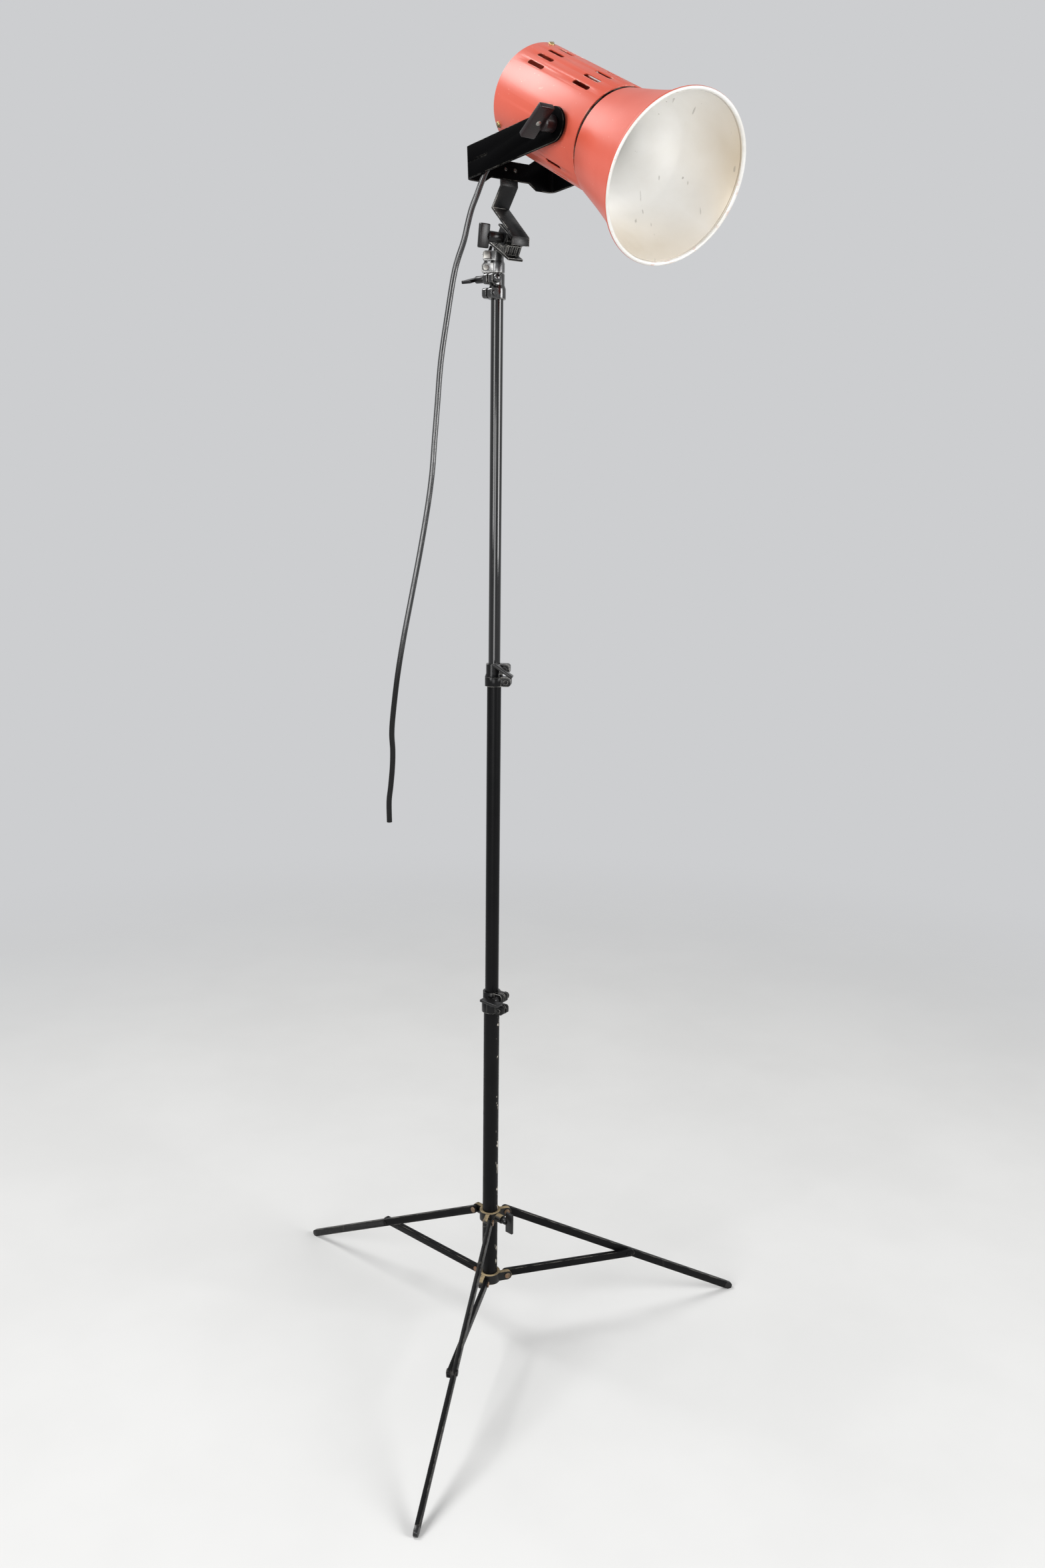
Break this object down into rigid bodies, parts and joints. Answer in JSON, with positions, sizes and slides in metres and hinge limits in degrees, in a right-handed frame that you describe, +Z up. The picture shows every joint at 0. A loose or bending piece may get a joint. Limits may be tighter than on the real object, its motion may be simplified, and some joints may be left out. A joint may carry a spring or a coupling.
{
  "type": "studio floodlight on a folding stand",
  "caption": "Vintage studio floodlight: red vented housing and bell reflector in a black yoke, on a telescoping tripod stand with a short cut cord",
  "frame": {"origin": "on the floor, under the axis of the pole", "axes": "+Z up along the pole, +Y away from the picture's viewer, +X to the viewer's right"},
  "size_m": [0.6887, 0.6735, 1.7484],
  "materials": {
    "red_paint": "satin",
    "silver": "satin",
    "black_paint": "satin",
    "black_plastic": "gloss",
    "maroon_plastic": "gloss",
    "steel": "satin",
    "rusty_steel": "matte",
    "brass": "satin",
    "porcelain": "gloss",
    "glass": "satin",
    "rubber": "matte"
  },
  "bodies": {
    "stand": {"base_tube": "black_paint", "brace_hub": "black_paint", "brace_pins": "rusty_steel", "base_clamp": "black_paint", "base_clamp_bolts": "steel"},
    "leg_ring": {"leg_hub": "black_paint", "leg_pins": "rusty_steel"},
    "leg_1": {"leg_1": "black_paint", "leg_tip_1": "rubber"},
    "leg_2": {"leg_2": "black_paint", "leg_tip_2": "rubber"},
    "leg_3": {"leg_3": "black_paint", "leg_tip_3": "rubber"},
    "brace_1": {"brace_1": "black_paint"},
    "brace_2": {"brace_2": "black_paint"},
    "brace_3": {"brace_3": "black_paint"},
    "leg_knob": {"hub_wing": "black_plastic"},
    "base_knob": {"base_clamp_wing": "black_plastic"},
    "mast_2": {"second_tube": "black_paint", "second_clamp": "black_paint", "second_clamp_bolts": "steel"},
    "second_knob": {"second_clamp_wing": "black_plastic"},
    "mast_3": {"third_tube": "black_paint", "third_clamp": "black_paint", "third_clamp_bolts": "steel"},
    "third_knob": {"third_clamp_wing": "black_plastic"},
    "mast_4": {"fourth_tube": "black_paint", "top_clamp": "black_paint", "top_clamp_bolts": "steel"},
    "top_knob": {"top_clamp_wing": "black_plastic"},
    "swivel": {"spigot": "steel", "tilt_drum": "steel"},
    "arm": {"arm_strip": "black_paint", "tilt_jaw": "black_paint", "tilt_bolt": "steel", "tilt_nut": "steel", "yoke": "black_paint", "yoke_rivets": "steel"},
    "tilt_knob": {"tilt_wing": "black_plastic"},
    "yoke_knob": {"yoke_wing": "maroon_plastic"},
    "lamp": {"housing": "red_paint", "rear_cap": "red_paint", "cap_screws": "brass", "neck_ring": "black_paint", "reflector": "red_paint", "liner": "silver", "lamp_holder": "porcelain", "holder_posts": "steel", "screw_shell": "brass", "bulb_cap": "brass", "bulb_glass": "glass", "pivot_bolts": "steel", "pivot_spacers": "steel", "pivot_nut": "steel", "cord_gland": "rubber", "cord": "rubber"}
  },
  "joints": [
    {"name": "leg_slide", "type": "slide", "parent": "stand", "child": "leg_ring", "axis": [0, 0, 1], "range_m": [0, 0.31]},
    {"name": "leg_fold_1", "type": "hinge", "parent": "leg_ring", "child": "leg_1", "pos_m": [0.02397, 0.0071, 0.2036], "axis": [-0.284, 0.9588, 0], "range_deg": [0, 50.09]},
    {"name": "leg_fold_2", "type": "hinge", "parent": "leg_ring", "child": "leg_2", "pos_m": [-0.01813, 0.01721, 0.2036], "axis": [-0.6884, -0.7254, 0], "range_deg": [0, 50.09]},
    {"name": "leg_fold_3", "type": "hinge", "parent": "leg_ring", "child": "leg_3", "pos_m": [-0.00584, -0.02431, 0.2036], "axis": [0.9724, -0.2334, 0], "range_deg": [0, 50.09]},
    {"name": "brace_fold_1", "type": "hinge", "parent": "stand", "child": "brace_1", "pos_m": [0.02397, 0.0071, 0.1021], "axis": [0.284, -0.9588, 0], "range_deg": [0, 77.33]},
    {"name": "brace_fold_2", "type": "hinge", "parent": "stand", "child": "brace_2", "pos_m": [-0.01813, 0.01721, 0.1021], "axis": [0.6884, 0.7254, 0], "range_deg": [0, 77.33]},
    {"name": "brace_fold_3", "type": "hinge", "parent": "stand", "child": "brace_3", "pos_m": [-0.00584, -0.02431, 0.1021], "axis": [-0.9724, 0.2334, 0], "range_deg": [0, 77.33]},
    {"name": "leg_knob_turn", "type": "hinge", "parent": "leg_ring", "child": "leg_knob", "pos_m": [0.02176, -0.02065, 0.2036], "axis": [0.7254, -0.6884, 0], "continuous": true},
    {"name": "base_knob_turn", "type": "hinge", "parent": "stand", "child": "base_knob", "pos_m": [0.00561, -0.01962, 0.54685], "axis": [-0.6157, -0.788, 0], "continuous": true},
    {"name": "second_slide", "type": "slide", "parent": "stand", "child": "mast_2", "axis": [0, 0, 1], "range_m": [-0.4, 0], "deforming": ["cord"]},
    {"name": "second_knob_turn", "type": "hinge", "parent": "mast_2", "child": "second_knob", "pos_m": [0.01308, -0.01396, 1.01185], "axis": [-0.1392, -0.9903, 0], "continuous": true},
    {"name": "third_slide", "type": "slide", "parent": "mast_2", "child": "mast_3", "axis": [0, 0, 1], "range_m": [-0.4, 0], "deforming": ["cord"]},
    {"name": "third_knob_turn", "type": "hinge", "parent": "mast_3", "child": "third_knob", "pos_m": [-0.01764, -0.00309, 1.50185], "axis": [-0.788, 0.6157, 0], "continuous": true},
    {"name": "fourth_slide", "type": "slide", "parent": "mast_3", "child": "mast_4", "axis": [0, 0, 1], "range_m": [0, 0.42], "deforming": ["cord"]},
    {"name": "top_knob_turn", "type": "hinge", "parent": "mast_4", "child": "top_knob", "pos_m": [-0.013, 0.012, 1.52985], "axis": [0, 1, 0], "continuous": true},
    {"name": "head_pan", "type": "hinge", "parent": "mast_4", "child": "swivel", "pos_m": [0, 0, 1.53535], "axis": [0, 0, 1], "range_deg": [-45, 75], "deforming": ["cord"]},
    {"name": "arm_tilt", "type": "hinge", "parent": "swivel", "child": "arm", "pos_m": [0.01606, -0.02294, 1.54635], "axis": [-0.8192, -0.5736, 0], "range_deg": [-25, 30], "deforming": ["cord"]},
    {"name": "tilt_knob_turn", "type": "hinge", "parent": "arm", "child": "tilt_knob", "pos_m": [-0.00851, -0.04014, 1.54635], "axis": [-0.8192, -0.5736, 0], "continuous": true},
    {"name": "lamp_tilt", "type": "hinge", "parent": "arm", "child": "lamp", "pos_m": [0.11299, -0.16137, 1.63635], "axis": [-0.8192, -0.5736, 0], "range_deg": [-60, 90], "deforming": ["cord"]},
    {"name": "yoke_knob_turn", "type": "hinge", "parent": "arm", "child": "yoke_knob", "pos_m": [0.05156, -0.20439, 1.63635], "axis": [-0.8192, -0.5736, 0], "continuous": true}
  ],
  "couplings": [
    {"joint": "leg_fold_1", "follows": "leg_slide", "rad_per_m": 2.8193},
    {"joint": "leg_fold_2", "follows": "leg_slide", "rad_per_m": 2.8193},
    {"joint": "leg_fold_3", "follows": "leg_slide", "rad_per_m": 2.8193},
    {"joint": "brace_fold_1", "follows": "leg_slide", "rad_per_m": 4.3531},
    {"joint": "brace_fold_2", "follows": "leg_slide", "rad_per_m": 4.3531},
    {"joint": "brace_fold_3", "follows": "leg_slide", "rad_per_m": 4.3531}
  ]
}
